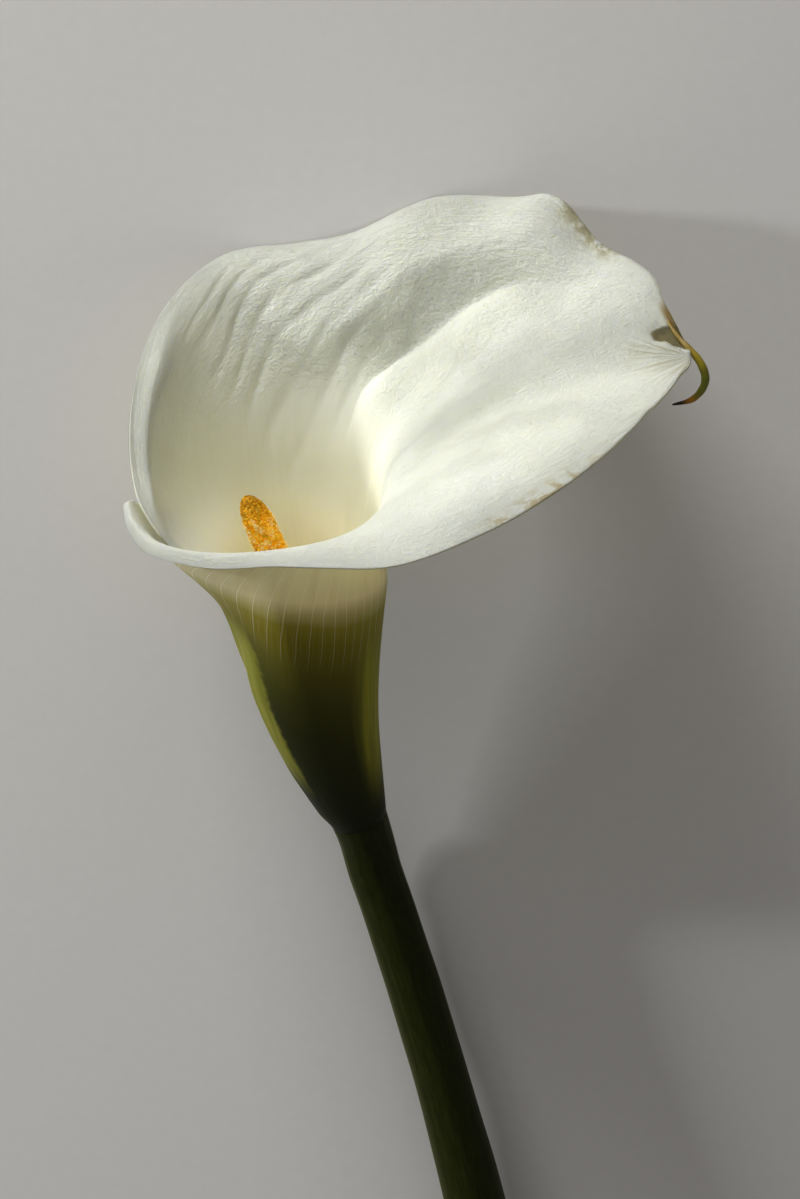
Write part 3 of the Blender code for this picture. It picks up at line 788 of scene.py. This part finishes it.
def spadix_core(bottom, top, dome, sunk):
    """The smooth rod that a zone's florets sit on."""

    def place(across, along):
        height = bottom + (top - bottom) * (1 - (1 - along) ** 1.5)
        radius = np.maximum(spadix_radius(height, bottom, top, dome) - sunk, 0.02)
        return in_world(spadix_point(2 * math.pi * across, height, radius))

    return formed_grid(40, 60, place, {"floret": lambda across, along: np.stack([0 * across, along, 0 * along], 1)})


def copied(shape, count):
    """Copies a small shape until the mesh holds that many, one after another."""
    single = len(shape.verts)
    while len(shape.verts) < count * single:
        bmesh.ops.duplicate(shape, geom=[*shape.verts, *shape.edges, *shape.faces])
    bmesh.ops.delete(shape, geom=list(shape.verts)[count * single :], context="VERTS")


def add_florets(shape, seed, spacing, size, bottom, top, dome, segments, rings, waist):
    """Small lobed knobs in a spiral over a zone, each a little turned, sized and toned by chance."""
    chance = np.random.default_rng(seed)
    forms, tones = [], []
    height, turn = bottom + spacing * 0.4, 0.0
    while height < top - 0.02:
        radius = float(spadix_radius(np.float64(height), bottom, top, dome))
        around = max(1.0, 2 * math.pi * max(radius, 0.15) / spacing)
        rise = spacing * 0.92 / around
        if height > top - dome:
            steep = (1 - (top - height) / dome) * SPADIX_RADIUS / max(radius, 0.6)
            rise /= math.sqrt(1 + steep * steep)
        turn += 2 * math.pi / around
        height += rise
        spot = np.array([height + chance.normal(0, 0.06)]), np.array([turn + chance.normal(0, 0.1 / max(radius, 1.0))])
        tilt = spadix_radius(spot[0] + 0.05, bottom, top, dome) - spadix_radius(spot[0] - 0.05, bottom, top, dome)
        outward = Vector((math.cos(turn) * 0.1, math.sin(turn) * 0.1, -float(tilt[0])))
        at = spadix_point(spot[1], spot[0], np.array([max(radius - size * 0.12, 0.0)]))[0]
        facing = outward.normalized().to_track_quat("Z", "Y").to_matrix().to_4x4()
        grown = size * chance.uniform(0.82, 1.15)
        form = Matrix.Diagonal((grown * 0.52, grown * 0.62, grown * chance.uniform(0.34, 0.5), 1.0))
        twist = Matrix.Rotation(chance.uniform(0, 2 * math.pi), 4, "Z")
        forms.append(BLOOM @ Matrix.Translation(at) @ facing @ twist @ form)
        tones.append((chance.uniform(0, 1), (height - bottom) / (top - bottom), 1.0))
    knobs = bmesh.new()
    mark = knobs.verts.layers.float_vector.new("floret")
    bmesh.ops.create_uvsphere(knobs, u_segments=segments, v_segments=rings, radius=1.0)
    for vertex in knobs.verts:
        if waist and abs(vertex.co.y) < 0.3:
            vertex.co.z *= 1 - waist
            vertex.co.x *= 1 - waist * 0.4
    single = len(knobs.verts)
    copied(knobs, len(forms))
    for i, vertex in enumerate(knobs.verts):
        vertex.co = forms[i // single] @ vertex.co
        vertex[mark] = tones[i // single]
    together = bpy.data.meshes.new("florets")
    knobs.to_mesh(together)
    knobs.free()
    shape.from_mesh(together)
    bpy.data.meshes.remove(together)


def floret_finish(name, roughness, tones, tip_tone, core_tone):
    """Dark, middle and light tones by chance, one tone at the zone's top, and one for the rod between florets."""
    made, start, shader = new_finish(name, roughness, 0.25, (1.0, 0.6, 0.2), 0.0006, 0.15)
    # A faint glow stands for the light that scatters from floret to floret.
    shader.inputs["Emission Strength"].default_value = FLORET_GLOW
    floret = start.mark("floret")
    tone, along, knob = (floret.part(i) for i in range(3))
    grain = start.own_place().noise(1900.0, 2.0, 0.6)
    patches = start.own_place().noise(420.0, 2.0, 0.5)
    mixed = (tone * 0.65 + grain * 0.35 + patches * 0.3 - 0.15).ramp(tuple(zip((0.1, 0.5, 0.95), tones)))
    mixed = (along.step(0.91, 1.0) * 0.7).mix(mixed, tip_tone)
    tinted = knob.step(0.2, 0.8).mix(core_tone, mixed)
    give(shader, tinted, "Base Color")
    give(shader, tinted, "Emission Color")
    raise_relief(shader, grain, 0.0002)
    return made


pistil_shape = spadix_core(PISTIL_BOTTOM, PISTIL_TOP, 1.0, 0.15)
close_rod(pistil_shape)
add_florets(
    pistil_shape, seed=11, spacing=1.9, size=2.3, bottom=PISTIL_BOTTOM, top=PISTIL_TOP, dome=1.0,
    segments=10, rings=6, waist=0.0,
)
pistil_skin = floret_finish(
    "pistil_skin", 0.45, tones=((0.16, 0.22, 0.04), (0.30, 0.37, 0.09), (0.48, 0.52, 0.20)),
    tip_tone=(0.40, 0.42, 0.14, 1.0), core_tone=(0.14, 0.18, 0.05, 1.0),
)
finished("spadix_pistils", pistil_shape, pistil_skin, "pistils", "pistils")

stamen_shape = spadix_core(STAMEN_BOTTOM, SPADIX_TOP, TIP_DOME, 0.35)
close_rod(stamen_shape)
add_florets(
    stamen_shape, seed=5, spacing=0.98, size=1.12, bottom=STAMEN_BOTTOM, top=SPADIX_TOP, dome=TIP_DOME,
    segments=8, rings=5, waist=0.4,
)
anther_skin = floret_finish(
    "anther_skin", 0.6, tones=((0.88, 0.40, 0.008), (0.98, 0.56, 0.018), (1.0, 0.72, 0.09)),
    tip_tone=(0.34, 0.13, 0.003, 1.0), core_tone=(0.85, 0.42, 0.012, 1.0),
)
finished("spadix_stamens", stamen_shape, anther_skin, "stamens", "stamens")

# =========================================================== the pollen
# Pale, waxy grains that have burst from the anthers. They are loose dust, and cling to the florets in small
# drifts.
POLLEN_GRAINS = 5000
POLLEN_DRIFTS = 300
POLLEN_CREAM = (0.88, 0.76, 0.36, 1.0)
POLLEN_GOLD = (0.88, 0.64, 0.18, 1.0)
POLLEN_PAINTED_GLOW = 0.12


def pollen_grains():
    chance = np.random.default_rng(23)
    drifts = chance.uniform((0, STAMEN_BOTTOM), (2 * math.pi, SPADIX_TOP - 5), (POLLEN_DRIFTS, 2))
    drift = drifts[chance.integers(len(drifts), size=POLLEN_GRAINS)]
    turn = drift[:, 0] + chance.normal(0, 0.10, POLLEN_GRAINS)
    height = np.clip(drift[:, 1] + chance.normal(0, 0.65, POLLEN_GRAINS), STAMEN_BOTTOM + 0.3, SPADIX_TOP - 0.8)
    radius = spadix_radius(height, STAMEN_BOTTOM, SPADIX_TOP, TIP_DOME) + chance.uniform(0.12, 0.42, POLLEN_GRAINS)
    places = spadix_point(turn, height, radius)
    sizes = chance.uniform(0.09, 0.24, POLLEN_GRAINS)
    shape = bmesh.new()
    bmesh.ops.create_icosphere(shape, subdivisions=1, radius=1.0)
    single = len(shape.verts)
    copied(shape, POLLEN_GRAINS)
    for i, vertex in enumerate(shape.verts):
        vertex.co = BLOOM @ (Vector(places[i // single]) + vertex.co * sizes[i // single])
    return shape


def pollen_finish():
    made, start, shader = new_finish("pollen", 0.75, 0.2, (1.0, 0.8, 0.4), 0.0005, 0.2)
    # A faint painted glow, like the florets', stands for light scattered among the grains.
    shader.inputs["Emission Strength"].default_value = POLLEN_PAINTED_GLOW
    cream = start.own_place().noise(900.0, 1.0, 0.5).step(0.35, 0.65).mix(POLLEN_CREAM, POLLEN_GOLD)
    give(shader, cream, "Base Color")
    give(shader, cream, "Emission Color")
    return made


finished("spadix_pollen", pollen_grains(), pollen_finish(), "stamens")

# =========================================================== the studio
# A pale paper floor, a small lamp low on the left, a broad one from beyond the bloom, and a soft light all
# round. The camera looks down on the flower where it lies.
CAMERA_TILT = math.radians(10.0)
CAMERA_LENS = 120.0
CAMERA_REACH = 1.0518
AIM_RIGHT = 12.368 * MM
AIM_UP = 57.5 * MM
LIT_SPOT = (0.0, 0.08, 0.05)
PAPER = (0.70, 0.69, 0.68, 1.0)
PAPER_LIGHT = (0.74, 0.73, 0.72, 1.0)
SURROUND = (0.93, 0.90, 0.86, 1.0)
SURROUND_STRENGTH = 0.23

floor_shape = bmesh.new()
bmesh.ops.create_grid(floor_shape, x_segments=1, y_segments=1, size=4.0)
for vertex in floor_shape.verts:
    vertex.co.z = -0.0002
floor_mesh = bpy.data.meshes.new("floor")
floor_shape.to_mesh(floor_mesh)
floor_shape.free()
floor_made, floor_start, floor_shader = new_finish("floor_paper", 0.9)
give(floor_shader, floor_start.own_place().noise(300.0, 3.0, 0.5).mix(PAPER, PAPER_LIGHT), "Base Color")
floor_mesh.materials.append(floor_made)
floor = bpy.data.objects.new("floor", floor_mesh)
bpy.context.scene.collection.objects.link(floor)


def studio_light(name, place, size, power, colour):
    light = bpy.data.lights.new(name, "AREA")
    light.size = size
    light.energy = power
    light.color = colour
    lamp = bpy.data.objects.new(name, light)
    lamp.location = place
    lamp.rotation_euler = (Vector(LIT_SPOT) - Vector(place)).to_track_quat("-Z", "Y").to_euler()
    bpy.context.scene.collection.objects.link(lamp)


studio_light("key", place=(-1.100, 0.352, 0.245), size=0.10, power=7.8, colour=(0.98, 1.0, 0.98))
studio_light("fill", place=(-0.922, 2.053, 0.354), size=1.1, power=67.0, colour=(1.0, 0.99, 0.96))

world = bpy.data.worlds.new("studio")
bpy.context.scene.world = world
world.use_nodes = True
world.node_tree.nodes["Background"].inputs[0].default_value = SURROUND
world.node_tree.nodes["Background"].inputs[1].default_value = SURROUND_STRENGTH

camera_back = Vector((0.0, math.sin(CAMERA_TILT), math.cos(CAMERA_TILT)))
camera_up = Vector((0.0, math.cos(CAMERA_TILT), -math.sin(CAMERA_TILT)))
camera_right = Vector((1.0, 0.0, 0.0))
camera_aim = BASE + camera_right * AIM_RIGHT + camera_up * AIM_UP
camera_data = bpy.data.cameras.new("camera")
camera_data.lens = CAMERA_LENS
camera = bpy.data.objects.new("camera", camera_data)
camera.matrix_world = (
    Matrix.Translation(camera_aim + camera_back * CAMERA_REACH)
    @ Matrix((camera_right, camera_up, camera_back)).transposed().to_4x4()
)
bpy.context.scene.collection.objects.link(camera)
bpy.context.scene.camera = camera
bpy.context.scene.view_settings.view_transform = "Standard"
